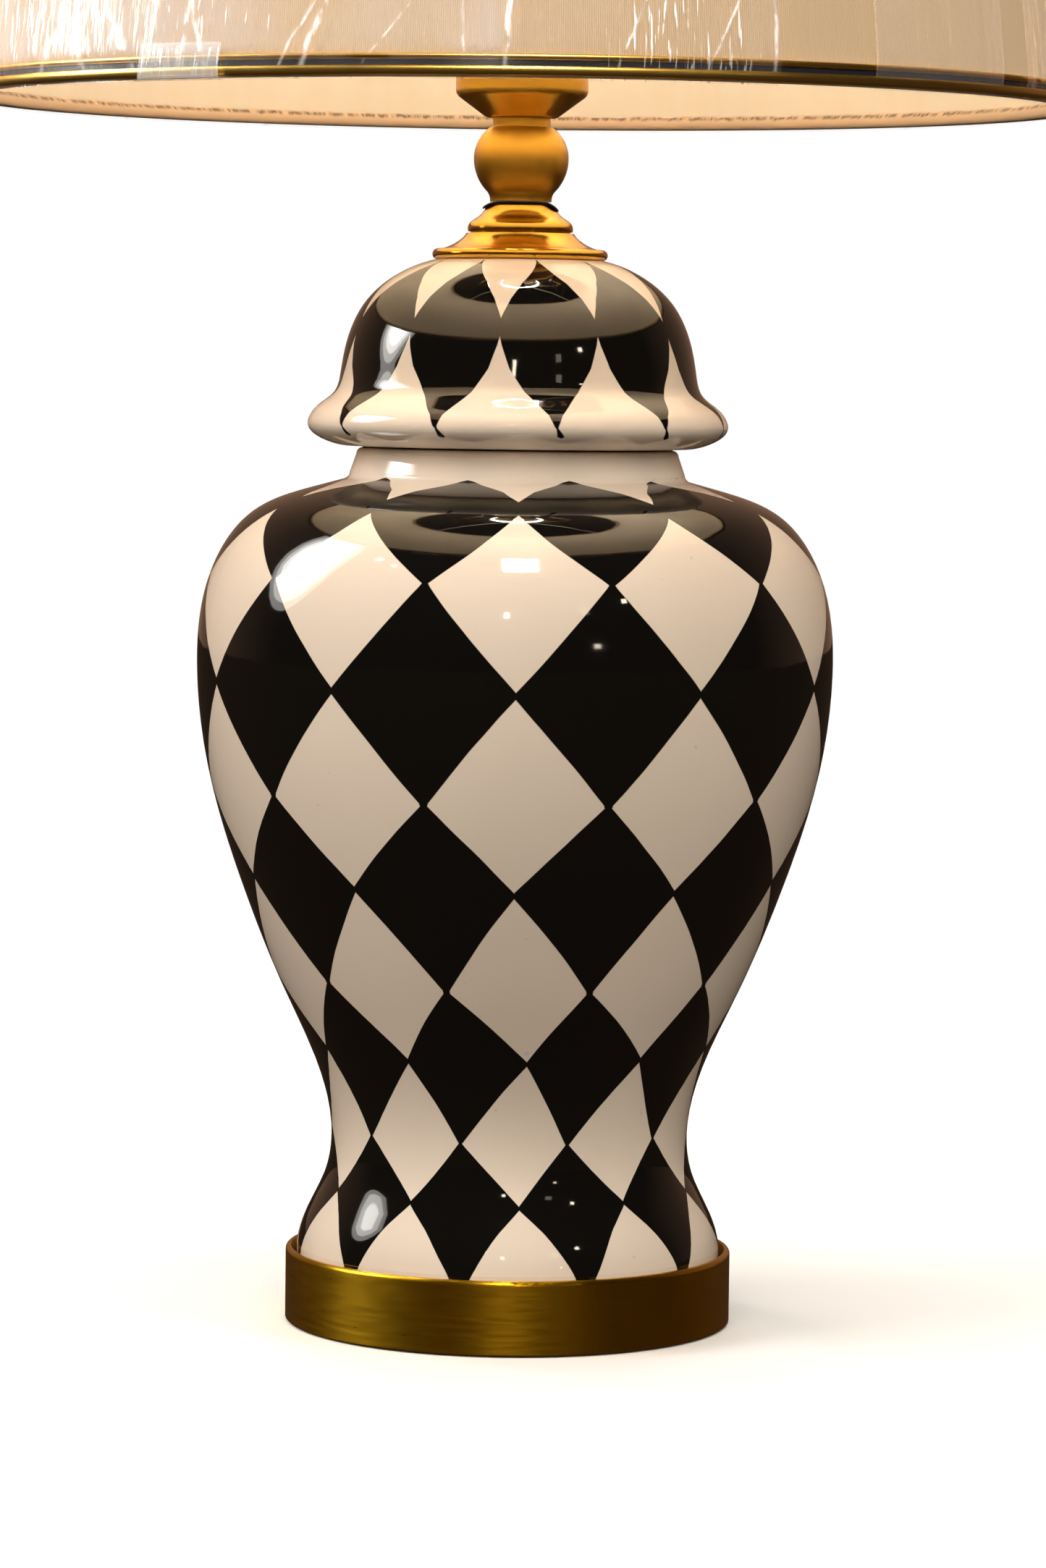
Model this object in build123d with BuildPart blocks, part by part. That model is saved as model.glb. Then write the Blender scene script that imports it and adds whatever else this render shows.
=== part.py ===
"""Table lamp: ceramic temple jar with a lid on a brass base, brass neck, harp and a conical fabric shade.

Millimetres, +Z up. The origin is at the centre of the foot, on the surface that the lamp stands on.
The jar, the column and the shade share the Z axis, and the harp lies in the XZ plane.
"""
from build123d import *
from math import cos, radians, sin, sqrt
import os

os.makedirs("parts", exist_ok=True)

# ---------------------------------------------------------------- driving dimensions
felt_thick = 1.6
cover_thick = 1.2

ring_radius = 81.0          # brass base ring
ring_height = 27.0
ring_wall = 2.0
ring_lift = 0.6             # the ring stands clear of the surface on its felt
shelf_top = 16.0            # the shelf inside the ring that carries the jar
seat_pad_thick = 1.5

inlet_height = 8.4          # cord inlet in the back of the ring
inlet_bore = 3.5

rod_radius = 5.0            # M10 x 1 threaded tube
rod_bore = 3.9
rod_low = 8.0
rod_high = 463.0
rod_hole = 5.2              # clearance round the rod

jar_top = 317.2
jar_floor = 9.0
gasket_thick = 0.8
lid_top = 385.0

cap_top = 394.6             # wide brass cap on the lid
step_top = 404.6            # smaller cap on it
washer_top = 406.0
neck_top = 436.0
cup_radius = 23.8
cup_top = 457.0

holder_radius = 17.6        # E27 lampholder
holder_low = 458.6
holder_high = 522.0
contact_height = 500.0      # the insulator's top, where the centre contact lies
knob_height = 488.0

screw_pitch = 3.629         # E27 thread
bulb_radius = 30.0
bulb_low = 501.5
bulb_joint = 562.0          # where the globe meets the collar
bulb_high = 608.0

leg_offset = 30.0           # harp
harp_wire = 2.0
leg_low = 472.0
harp_top = 664.0
harp_widest = 56.0

shade_low = 440.6
shade_height = 240.0
shade_low_radius = 200.0
shade_high_radius = 170.0
panel_thick = 1.2
lining_thick = 0.4
ring_wire = 1.5             # wire of the shade's two rings
arm_wire = 1.75
film_gap = 2.3
film_thick = 0.3

washer_low = 667.8          # spider washer on the harp's stud
stud_radius = 3.0

shade_high = shade_low + shade_height
jar_foot = shelf_top + seat_pad_thick
lid_low = jar_top + gasket_thick


def shade_radius(height):
    """Outer radius of the shade's fabric at a height."""
    slope = (shade_low_radius - shade_high_radius) / shade_height
    return shade_low_radius - slope * (height - shade_low)


def keep(piece, label):
    """Label a finished piece and write it to its own file."""
    piece.part.label = label
    export_step(piece.part, f"parts/{label}.step")


def turned(label, *outline):
    """A piece turned about the Z axis from a closed outline of (radius, height) points."""
    with BuildPart() as piece:
        with BuildSketch(Plane.XZ):
            with BuildLine():
                Polyline(*outline, close=True)
            make_face()
        revolve(axis=Axis.Z)
    keep(piece, label)
    return piece


def collar(label, inner, outer, low, high):
    """A plain ring or washer about the Z axis."""
    return turned(label, (inner, low), (outer, low), (outer, high), (inner, high))


def hex_nut(label, across_flats, bore, low, high):
    """A hexagonal nut on the rod."""
    with BuildPart() as nut:
        with BuildSketch(Plane.XY.offset(low)):
            RegularPolygon(across_flats / 2, 6, major_radius=False)
            Circle(bore, mode=Mode.SUBTRACT)
        extrude(amount=high - low)
    keep(nut, label)


def wire_ring(label, radius, height, wire):
    """A closed ring of round wire about the Z axis."""
    with BuildPart() as ring:
        with BuildSketch(Plane.XZ):
            with Locations((radius, height)):
                Circle(wire)
        revolve(axis=Axis.Z)
    keep(ring, label)


def cone_skin(label, inside, outside, low, high):
    """A thin conical skin that follows the shade, between two offsets from its outer surface."""
    turned(
        label,
        (shade_radius(low) + inside, low),
        (shade_radius(low) + outside, low),
        (shade_radius(high) + outside, high),
        (shade_radius(high) + inside, high),
    )


# ---------------------------------------------------------------- base
with BuildPart() as felt_pad:
    with BuildSketch():
        Circle(ring_radius - ring_wall - 2)
    extrude(amount=felt_thick)
keep(felt_pad, "felt_pad")

with BuildPart() as base_cover:
    with BuildSketch(Plane.XY.offset(felt_thick)):
        Circle(ring_radius - ring_wall)
    extrude(amount=cover_thick)
keep(base_cover, "base_cover")

inlet_wall = inlet_bore + 1.0
with BuildPart() as base_ring:
    with BuildSketch(Plane.XZ):
        with BuildLine():
            Polyline(
                (ring_radius, ring_lift),
                (ring_radius, ring_height),
                (ring_radius - ring_wall, ring_height),
                (ring_radius - ring_wall, shelf_top),
                (rod_hole, shelf_top),
                (rod_hole, shelf_top - ring_wall),
                (ring_radius - ring_wall, shelf_top - ring_wall),
                (ring_radius - ring_wall, ring_lift),
                close=True,
            )
        ring_face = make_face()
        fillet(ring_face.vertices().group_by(Axis.Y)[-1].sort_by(Axis.X)[-1], ring_wall * 0.75)
    revolve(axis=Axis.Z)
    fillet(base_ring.edges().group_by(Axis.Z)[0].sort_by(SortBy.LENGTH)[-1], 0.6)
    with BuildSketch(Plane.XZ.offset(-(ring_radius - 2 * ring_wall))):
        with Locations((0, inlet_height)):
            Circle(inlet_wall)
    extrude(amount=-3 * ring_wall, mode=Mode.SUBTRACT)
keep(base_ring, "base_ring")

grommet_lip = 1.2
with BuildPart() as cord_grommet:
    with BuildSketch(Plane.XZ.offset(-(ring_radius - ring_wall - 1.6))):
        with Locations((0, inlet_height)):
            Circle(inlet_wall + 0.8)
    extrude(amount=-grommet_lip)
    with BuildSketch(Plane.XZ.offset(-ring_radius)):
        with Locations((0, inlet_height)):
            Circle(inlet_wall + 2)
    extrude(amount=-grommet_lip)
    chamfer(cord_grommet.edges().group_by(Axis.Y)[-1], 0.5)
    with BuildSketch(Plane.XZ.offset(-(ring_radius - ring_wall - 1.6))):
        with Locations((0, inlet_height)):
            Circle(inlet_wall)
    extrude(amount=-(ring_wall + 1.6))
    with BuildSketch(Plane.XZ.offset(-(ring_radius - ring_wall - 1.6))):
        with Locations((0, inlet_height)):
            Circle(inlet_bore)
    extrude(amount=-(ring_wall + 1.6 + grommet_lip), mode=Mode.SUBTRACT)
keep(cord_grommet, "cord_grommet")

collar("jar_seat_pad", 55, 74, shelf_top, jar_foot)
washer_thick = 1.6
nut_thick = 3.5
shelf_low = shelf_top - ring_wall
collar("rod_washer", rod_hole, 15, shelf_low - washer_thick, shelf_low)
hex_nut("rod_nut", 15, rod_radius, shelf_low - washer_thick - nut_thick, shelf_low - washer_thick)

# ---------------------------------------------------------------- rod and wires
rod_chamfer = 0.35
with BuildPart() as centre_rod:
    with BuildSketch(Plane.XY.offset(rod_low)):
        Circle(rod_radius)
        Circle(rod_bore, mode=Mode.SUBTRACT)
    extrude(amount=rod_high - rod_low)
    chamfer(centre_rod.edges().filter_by(GeomType.CIRCLE).sort_by(SortBy.RADIUS)[-2:], rod_chamfer)
keep(centre_rod, "centre_rod")

wire_radius = 1.2
wire_gap = 1.4              # each conductor's distance from the rod's axis
terminal_offset = 10.0
terminal_height = 473.0
with BuildPart() as inner_wires:
    for side in (-1, 1):
        wire_start = (side * wire_gap, ring_radius - 2 * ring_wall - 1, 5.6)
        with BuildLine() as wire_route:
            FilletPolyline(
                wire_start,
                (side * wire_gap, 0, 5.6),
                (side * wire_gap, 0, rod_high + 1),
                (side * terminal_offset, 0, rod_high + 6),
                (side * terminal_offset, 0, terminal_height),
                radius=2.4,
            )
        with BuildSketch(Plane(origin=wire_start, z_dir=(0, -1, 0))):
            Circle(wire_radius)
        sweep(path=wire_route.line)
keep(inner_wires, "inner_wires")

# ---------------------------------------------------------------- ceramic jar and lid
foot_radius = 76.9
rod_opening = 7.0
with BuildPart() as jar_body:
    with BuildSketch(Plane.XZ):
        with BuildLine():
            Polyline((rod_opening, jar_foot), (foot_radius - 1.5, jar_foot), (foot_radius, jar_foot + 1.5))
            Line((foot_radius, jar_foot + 1.5), (foot_radius, 28))
            Spline(
                (foot_radius, 28),
                (73.3, 40.3),
                (66.6, 55),
                (64.85, 65),
                (68.2, 88.2),
                (82.7, 121.6),
                (97.6, 158.2),
                (109.1, 194.6),
                (114.97, 238.7),
                (110.4, 271.8),
                (95.4, 293.7),
                (72.7, 303.1),
                (62.4, 305.9),
            )
            ThreePointArc((62.4, 305.9), (61.1, 306.8), (60.5, 308.3))
            Line((60.5, 308.3), (58.2, jar_top - 2.2))
            ThreePointArc((58.2, jar_top - 2.2), (57.55, jar_top - 0.65), (56, jar_top))
            Polyline((56, jar_top), (52.6, jar_top), (52.6, 300))
            Spline(
                (52.6, 300),
                (73, 296.5),
                (92, 286.5),
                (104.5, 268),
                (108.8, 240),
                (103.2, 195),
                (91.5, 158),
                (76.6, 121.6),
                (62.2, 88),
                (58.7, 65),
                (67, 40),
                (69, jar_foot + jar_floor),
            )
            Polyline((69, jar_foot + jar_floor), (rod_opening, jar_foot + jar_floor), (rod_opening, jar_foot))
        make_face()
    revolve(axis=Axis.Z)
keep(jar_body, "jar_body")

collar("lid_gasket", 52.8, 56, jar_top, lid_low)

lid_opening = 6.0
spigot_low = 307.0
with BuildPart() as jar_lid:
    with BuildSketch(Plane.XZ):
        with BuildLine():
            Line((51.6, lid_low), (60, lid_low))
            Spline(
                (60, lid_low),
                (70, 319.9),
                (75.8, 325.2),
                (73.2, 331.3),
                (66.2, 337.4),
                (64, 345.4),
                (62.2, 354.8),
                (56, 368.8),
                (43.8, 379.7),
                (30.5, lid_top),
            )
            Polyline((30.5, lid_top), (lid_opening, lid_top), (lid_opening, lid_top - 6))
            Spline(
                (lid_opening, lid_top - 6),
                (28, lid_top - 7.5),
                (50, 364),
                (57.6, 345),
                (47, 321),
            )
            Polyline((47, 321), (47, spigot_low), (50.8, spigot_low), (51.6, spigot_low + 1), (51.6, lid_low))
        make_face()
    revolve(axis=Axis.Z)
keep(jar_lid, "jar_lid")

# ---------------------------------------------------------------- brass column
flange_thick = 3.9
flange_radius = 31.6
flange_round = flange_thick / 2
with BuildPart() as vase_cap:
    with BuildSketch(Plane.XZ):
        with BuildLine():
            Line((rod_hole, lid_top), (flange_radius - flange_round, lid_top))
            ThreePointArc(
                (flange_radius - flange_round, lid_top),
                (flange_radius, lid_top + flange_round),
                (flange_radius - flange_round, lid_top + flange_thick),
            )
            Line((flange_radius - flange_round, lid_top + flange_thick), (28.6, lid_top + flange_thick))
            Spline(
                (28.6, lid_top + flange_thick),
                (24, 390.6),
                (21.3, 392.4),
                (19.4, cap_top),
                tangents=((-1, 0.2), (-0.5, 1)),
            )
            Polyline((19.4, cap_top), (rod_hole, cap_top), (rod_hole, lid_top))
        make_face()
    revolve(axis=Axis.Z)
keep(vase_cap, "vase_cap")

step_groove = 0.6
with BuildPart() as step_cap:
    with BuildSketch(Plane.XZ):
        with BuildLine():
            Polyline(
                (rod_hole, cap_top),
                (18, cap_top),
                (18, cap_top + step_groove),
                (18.8, cap_top + step_groove),
            )
            ThreePointArc((18.8, cap_top + step_groove), (18.9, 396.8), (18.0, 398.5))
            Spline(
                (18.0, 398.5),
                (17.0, 399.3),
                (15.2, 400.5),
                (13.4, 402.3),
                (12.6, 403.9),
            )
            Polyline((12.6, 403.9), (12.4, step_top), (rod_hole, step_top), (rod_hole, cap_top))
        make_face()
    revolve(axis=Axis.Z)
keep(step_cap, "step_cap")

collar("neck_washer", rod_hole, 12.8, step_top, washer_top)

ball_centre = 421.4
ball_radius = 17.04
with BuildPart() as ball_neck:
    with BuildSketch(Plane.XZ):
        with BuildLine():
            Line((rod_hole, washer_top), (11.1, washer_top))
            ThreePointArc((11.1, washer_top), (11.3, 407.8), (12.0, 409.3))
            ThreePointArc((12.0, 409.3), (16.0, 415.5), (ball_radius, ball_centre))
            ThreePointArc((ball_radius, ball_centre), (15.6, 427.5), (11.6, 432.3))
            Polyline((11.6, 432.3), (10.4, 432.8), (10.4, neck_top), (rod_hole, neck_top))
            Line((rod_hole, neck_top), (rod_hole, washer_top))
        make_face()
    revolve(axis=Axis.Z)
keep(ball_neck, "ball_neck")

cup_wall = 1.2
cup_floor = 2.0
shoulder = 445.7
with BuildPart() as socket_cup:
    with BuildSketch(Plane.XZ):
        with BuildLine():
            Line((rod_hole, neck_top), (11.6, neck_top))
            ThreePointArc((11.6, neck_top), (12.7, 436.1), (13.6, 436.6))
            Line((13.6, 436.6), (22.2, 443.0))
            ThreePointArc((22.2, 443.0), (23.3, 444.1), (cup_radius, shoulder))
            Polyline(
                (cup_radius, shoulder),
                (cup_radius, cup_top),
                (cup_radius - cup_wall, cup_top),
                (cup_radius - cup_wall, shoulder - 0.3),
                (13.4, neck_top + cup_floor),
                (rod_hole, neck_top + cup_floor),
                (rod_hole, neck_top),
            )
        make_face()
    revolve(axis=Axis.Z)
keep(socket_cup, "socket_cup")

hex_nut("cup_nut", 15, rod_radius, neck_top + cup_floor, neck_top + cup_floor + 4)

# ---------------------------------------------------------------- harp saddle
saddle_thick = 1.6
saddle_width = 14.0
arm_width = 9.0
arm_top = 466.0
with BuildPart() as harp_saddle:
    with BuildSketch(Plane.XY.offset(cup_top)):
        SlotOverall(2 * leg_offset - 4, saddle_width)
        Rectangle(2 * leg_offset + saddle_thick, arm_width)
        Circle(rod_hole, mode=Mode.SUBTRACT)
    extrude(amount=saddle_thick)
    for side in (-1, 1):
        with BuildSketch(Plane.XY.offset(cup_top)):
            with Locations((side * leg_offset, 0)):
                Rectangle(saddle_thick, arm_width)
        extrude(amount=arm_top - cup_top)
        with BuildSketch(Plane.XY.offset(arm_top)):
            with Locations((side * leg_offset, 0)):
                Circle(harp_wire)
        extrude(amount=leg_low - arm_top)
keep(harp_saddle, "harp_saddle")

# ---------------------------------------------------------------- lampholder
sheet = 0.7
liner_thick = 0.5
liner_outer = holder_radius - sheet - 0.1
holder_cap_top = 476.0
turned(
    "lampholder_cap",
    (rod_radius, holder_low),
    (8.5, holder_low),
    (8.5, holder_low + 3),
    (14.5, holder_low + 8),
    (liner_outer, holder_low + 11),
    (liner_outer, holder_cap_top),
    (liner_outer - sheet, holder_cap_top),
    (liner_outer - sheet, holder_low + 11.4),
    (14, holder_low + 8.8),
    (7.6, holder_low + 4.4),
    (rod_radius, holder_low + 4.4),
)

shaft_radius = 2.0
shaft_window = 3.0
knob_axis = Plane(origin=(0, -holder_radius, knob_height), z_dir=(0, -1, 0))

with BuildPart() as lampholder_shell:
    with BuildSketch(Plane.XZ):
        with BuildLine():
            Polyline(
                (holder_radius - sheet, holder_low + 12),
                (holder_radius, holder_low + 12),
                (holder_radius, holder_high - 2),
                (holder_radius + 0.7, holder_high - 1.4),
                (holder_radius + 0.7, holder_high),
                (holder_radius - sheet, holder_high),
                close=True,
            )
        make_face()
    revolve(axis=Axis.Z)
    with Locations(knob_axis):
        Cylinder(shaft_window, 8, mode=Mode.SUBTRACT)
keep(lampholder_shell, "lampholder_shell")

with BuildPart() as shell_liner:
    with BuildSketch(Plane.XY.offset(holder_cap_top + 0.5)):
        Circle(liner_outer)
        Circle(liner_outer - liner_thick, mode=Mode.SUBTRACT)
    extrude(amount=holder_high - holder_cap_top - 1.5)
    with Locations(knob_axis):
        Cylinder(shaft_window, 8, mode=Mode.SUBTRACT)
keep(shell_liner, "shell_liner")

insulator_radius = liner_outer - liner_thick - 0.2
insulator_low = 477.0
with BuildPart() as lampholder_insulator:
    with BuildSketch(Plane.XY.offset(insulator_low)):
        Circle(insulator_radius)
    extrude(amount=contact_height - insulator_low)
    with BuildSketch(Plane.XY.offset(insulator_low)):
        Rectangle(2 * insulator_radius, 5)
    extrude(amount=4, mode=Mode.SUBTRACT)
    with Locations(knob_axis):
        Cylinder(shaft_radius + 0.06, 2 * (holder_radius - 4), mode=Mode.SUBTRACT)
keep(lampholder_insulator, "lampholder_insulator")

with BuildPart() as terminal_screws:
    with BuildSketch(Plane.XY.offset(terminal_height)):
        with Locations((-terminal_offset, 0), (terminal_offset, 0)):
            Circle(2.4)
    extrude(amount=2)
    with BuildSketch(Plane.XY.offset(terminal_height + 2)):
        with Locations((-terminal_offset, 0), (terminal_offset, 0)):
            Circle(1.5)
    extrude(amount=insulator_low + 4 - terminal_height - 2)
keep(terminal_screws, "terminal_screws")

screw_bore = 13.7
with BuildPart() as screw_shell:
    with BuildSketch(Plane.XY.offset(contact_height)):
        Circle(screw_bore + 0.6)
        Circle(screw_bore, mode=Mode.SUBTRACT)
    extrude(amount=holder_high - contact_height - 0.5)
keep(screw_shell, "screw_shell")

with BuildPart() as centre_contact:
    with BuildSketch(Plane.XY.offset(contact_height)):
        SlotOverall(18, 6)
    extrude(amount=0.6)
    with BuildSketch(Plane.XY.offset(contact_height + 0.6)):
        Circle(2.6)
    extrude(amount=0.6, taper=30)
keep(centre_contact, "centre_contact")

# ---------------------------------------------------------------- turn switch
with BuildPart() as switch_shaft:
    with BuildSketch(Plane.XZ.offset(4.5)):
        with Locations((0, knob_height)):
            Circle(shaft_radius)
    extrude(amount=17.5)
keep(switch_shaft, "switch_shaft")

knob_start = 22.0
knob_length = 14.0
knob_radius = 5.0
with BuildPart() as switch_knob:
    with BuildSketch(Plane.XZ.offset(knob_start)):
        with Locations((0, knob_height)):
            Circle(knob_radius)
            with PolarLocations(knob_radius + 0.5, 12):
                Circle(0.9, mode=Mode.SUBTRACT)
    extrude(amount=knob_length)
    chamfer(switch_knob.faces().sort_by(Axis.Y)[0].edges(), 0.6)
keep(switch_knob, "switch_knob")

# ---------------------------------------------------------------- bulb
cap_radius = 13.1
cap_low = 506.0
cap_high = 526.0
thread_root = 12.5
turns = 4
with BuildPart() as bulb_contact:
    with BuildSketch(Plane.XY.offset(bulb_low)):
        Circle(4.6)
    extrude(amount=1.5)
    fillet(bulb_contact.edges().group_by(Axis.Z)[0], 0.8)
keep(bulb_contact, "bulb_contact")

turned("bulb_insulator", (0, bulb_low + 1.6), (5, bulb_low + 1.6), (9.6, cap_low), (0, cap_low))

thread_low = cap_low + 2.4
with BuildPart() as bulb_cap:
    with BuildSketch(Plane.XZ):
        with BuildLine():
            Polyline((9.6, cap_low), (11.4, cap_low + 0.8), (thread_root, thread_low))
            for turn in range(turns):
                crest = thread_low + (turn + 0.5) * screw_pitch
                ThreePointArc(
                    (thread_root, crest - screw_pitch / 2),
                    (cap_radius, crest),
                    (thread_root, crest + screw_pitch / 2),
                )
            Polyline(
                (thread_root, thread_low + turns * screw_pitch),
                (cap_radius, cap_high - 1),
                (cap_radius, cap_high),
                (11.6, cap_high),
                (11.6, cap_low + 2.4),
                (9.6, cap_low + 1),
                (9.6, cap_low),
            )
        make_face()
    revolve(axis=Axis.Z)
keep(bulb_cap, "bulb_cap")

globe_centre = bulb_high - bulb_radius
joint_radius = sqrt(bulb_radius**2 - (globe_centre - bulb_joint) ** 2)
with BuildPart() as bulb_collar:
    with BuildSketch(Plane.XZ):
        with BuildLine():
            Line((0, cap_high), (13.4, cap_high))
            Spline(
                (13.4, cap_high),
                (14.6, cap_high + 7),
                (20, bulb_joint - 12),
                (joint_radius, bulb_joint),
                tangents=((0, 1), (0.63, 1)),
            )
            Polyline((joint_radius, bulb_joint), (0, bulb_joint), (0, cap_high))
        make_face()
    revolve(axis=Axis.Z)
keep(bulb_collar, "bulb_collar")

board_thick = 1.6
turned(
    "led_board",
    (0, bulb_joint),
    (joint_radius - 4, bulb_joint),
    (joint_radius - 4, bulb_joint + board_thick),
    (0, bulb_joint + board_thick),
)

globe_wall = 1.2
with BuildPart() as bulb_globe:
    Sphere(bulb_radius)
    Sphere(bulb_radius - globe_wall, mode=Mode.SUBTRACT)
    split(bisect_by=Plane.XY.offset(bulb_joint - globe_centre), keep=Keep.TOP)
bulb_globe.part.position = (0, 0, globe_centre)
keep(bulb_globe, "bulb_globe")

# ---------------------------------------------------------------- harp
bend_low = 495.0
bow_low = 540.0
bow_high = 600.0
crown = 24.0                # half the harp's flat top
with BuildPart() as harp:
    with BuildLine() as harp_route:
        FilletPolyline(
            (leg_offset, 0, leg_low),
            (leg_offset, 0, bend_low),
            (harp_widest, 0, bow_low),
            (harp_widest, 0, bow_high),
            (crown, 0, harp_top),
            (-crown, 0, harp_top),
            (-harp_widest, 0, bow_high),
            (-harp_widest, 0, bow_low),
            (-leg_offset, 0, bend_low),
            (-leg_offset, 0, leg_low),
            radius=(30, 60, 80, 25, 25, 80, 60, 30),
        )
    with BuildSketch(Plane.XY.offset(leg_low)):
        with Locations((leg_offset, 0)):
            Circle(harp_wire)
    sweep(path=harp_route.line)
keep(harp, "harp")

stud_base = 667.5
stud_high = 684.0
with BuildPart() as harp_stud:
    with BuildSketch(Plane.XY.offset(harp_top - 4)):
        Circle(5.5)
    extrude(amount=stud_base - harp_top + 4)
    with BuildSketch(Plane.YZ.offset(-8)):
        with Locations((0, harp_top)):
            Circle(harp_wire)
    extrude(amount=16, mode=Mode.SUBTRACT)
    with BuildSketch(Plane.XY.offset(stud_base)):
        Circle(stud_radius)
    extrude(amount=stud_high - stud_base)
keep(harp_stud, "harp_stud")

sleeve_low = arm_top + 0.3
sleeve_length = 14.0
for side, name in ((-1, "left"), (1, "right")):
    with BuildPart() as harp_sleeve:
        with BuildSketch(Plane.XY.offset(sleeve_low)):
            with Locations((side * leg_offset, 0)):
                Circle(4)
                Circle(harp_wire + 0.4, mode=Mode.SUBTRACT)
        extrude(amount=sleeve_length)
        with BuildSketch(Plane.XY.offset(sleeve_low)):
            with Locations((side * leg_offset, 0)):
                Circle(5)
                Circle(harp_wire + 0.4, mode=Mode.SUBTRACT)
        extrude(amount=1.5)
    keep(harp_sleeve, f"harp_sleeve_{name}")

# ---------------------------------------------------------------- shade
skin = panel_thick + lining_thick
wire_clear = 0.2
cone_skin("shade_panel", -panel_thick, 0, shade_low, shade_high)
cone_skin("shade_lining", -skin, -panel_thick, shade_low, shade_high)

low_ring_height = shade_low + 2.2
high_ring_height = shade_high - 2.2
low_ring_radius = shade_radius(low_ring_height) - skin - ring_wire - wire_clear
high_ring_radius = shade_radius(high_ring_height) - skin - ring_wire - wire_clear
wire_ring("shade_low_ring", low_ring_radius, low_ring_height, ring_wire)
wire_ring("shade_high_ring", high_ring_radius, high_ring_height, ring_wire)

hem_thick = 0.4
hem_height = 5.0
for edge, inward, label in ((shade_low, 1, "hem_low"), (shade_high, -1, "hem_high")):
    hem_inner = shade_radius(edge) - skin - 2 * ring_wire - 3 * wire_clear
    with BuildPart() as hem:
        with BuildSketch(Plane.XZ):
            with BuildLine():
                Polyline(
                    (hem_inner - hem_thick, edge - inward * hem_thick),
                    (shade_radius(edge), edge - inward * hem_thick),
                    (shade_radius(edge), edge),
                    (hem_inner, edge),
                    (hem_inner, edge + inward * hem_height),
                    (hem_inner - hem_thick, edge + inward * hem_height),
                    close=True,
                )
            make_face()
        revolve(axis=Axis.Z)
        if edge == shade_high:
            with Locations((0, 0, edge - hem_height)):
                with PolarLocations(hem_inner, 3, start_angle=90):
                    Box(4, 2 * arm_wire + 1, 2 * hem_height - 2 * hem_thick, mode=Mode.SUBTRACT)
    keep(hem, label)

bead_depth = 0.95           # how far the trim's gold beads reach out from their middles
edge_bead = 1.6             # half the height of the bead at the shade's edge
far_bead = 1.05             # half the height of the other bead
trim_height = 7.1
for edge, inward, end in ((shade_low, 1, "low"), (shade_high, -1, "high")):
    edge_middle = edge + inward * edge_bead
    far_middle = edge + inward * (trim_height - far_bead)
    with BuildPart() as trim_beads:
        for half_height, middle in ((edge_bead, edge_middle), (far_bead, far_middle)):
            with BuildSketch(Plane.XZ):
                with Locations((shade_radius(middle) + bead_depth + 0.25, middle)):
                    Ellipse(bead_depth, half_height)
            revolve(axis=Axis.Z)
    keep(trim_beads, f"trim_beads_{end}")
    band_edge = edge_middle + inward * (edge_bead + 0.05)
    band_far = far_middle - inward * (far_bead + 0.05)
    cone_skin(f"trim_band_{end}", 0.02, 0.7, min(band_edge, band_far), max(band_edge, band_far))

cone_skin("shade_film", film_gap, film_gap + film_thick, shade_low, shade_high)

collar("spider_washer", stud_radius + 0.3, 12, washer_low, washer_low + 1.8)
arm_height = washer_low + 0.9
arm_end = high_ring_radius - ring_wire
with BuildPart() as spider_arms:
    for angle in (90, 210, 330):
        across = cos(radians(angle))
        along = sin(radians(angle))
        with BuildLine() as arm_route:
            FilletPolyline(
                (12 * across, 12 * along, arm_height),
                (34 * across, 34 * along, arm_height),
                (140 * across, 140 * along, high_ring_height),
                (arm_end * across, arm_end * along, high_ring_height),
                radius=30,
            )
        with BuildSketch(Plane(origin=(12 * across, 12 * along, arm_height), z_dir=(across, along, 0))):
            Circle(arm_wire)
        sweep(path=arm_route.line)
keep(spider_arms, "spider_arms")

# ---------------------------------------------------------------- finial
finial_low = 669.9
insert_radius = 4.6
insert_top = 680.0
collar("finial_insert", stud_radius + 0.4, insert_radius, finial_low, insert_top)

finial_bore = insert_radius + 0.1
cavity_top = 687.0
knob_centre = 698.5         # the finial's ball
knob_ball = 10.4
knob_joint = 6.2
tip_joint = 4.0
joint_drop = sqrt(knob_ball**2 - knob_joint**2)
tip_rise = sqrt(knob_ball**2 - tip_joint**2)
finial_top = 711.8
with BuildPart() as finial:
    with BuildSketch(Plane.XZ):
        with BuildLine():
            Line((finial_bore, finial_low), (8.2, finial_low))
            ThreePointArc((8.2, finial_low), (9.2, finial_low + 1), (8.2, finial_low + 2))
            Spline(
                (8.2, finial_low + 2),
                (6.4, finial_low + 6),
                (6.6, finial_low + 14),
                (8.4, finial_low + 17),
                tangents=((-0.6, 1), (1, 0.6)),
            )
            ThreePointArc((8.4, finial_low + 17), (9.0, finial_low + 18), (8.2, finial_low + 19))
            Line((8.2, finial_low + 19), (knob_joint, knob_centre - joint_drop))
            ThreePointArc(
                (knob_joint, knob_centre - joint_drop),
                (knob_ball, knob_centre),
                (tip_joint, knob_centre + tip_rise),
            )
            Spline(
                (tip_joint, knob_centre + tip_rise),
                (0, finial_top),
                tangents=((-0.2, 1), (-1, 0)),
            )
            Polyline((0, finial_top), (0, cavity_top), (finial_bore, cavity_top), (finial_bore, finial_low))
        make_face()
    revolve(axis=Axis.Z)
keep(finial, "finial")
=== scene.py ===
"""Looks of a ceramic table lamp: harlequin glaze, lathe-brushed brass, ribbed shade under a clear film.

Metres, +Z up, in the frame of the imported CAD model. The lamp's front faces -Y.
"""
import bpy
from math import cos, pi, radians, sin, tau
from mathutils import Matrix, Vector, noise


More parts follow.
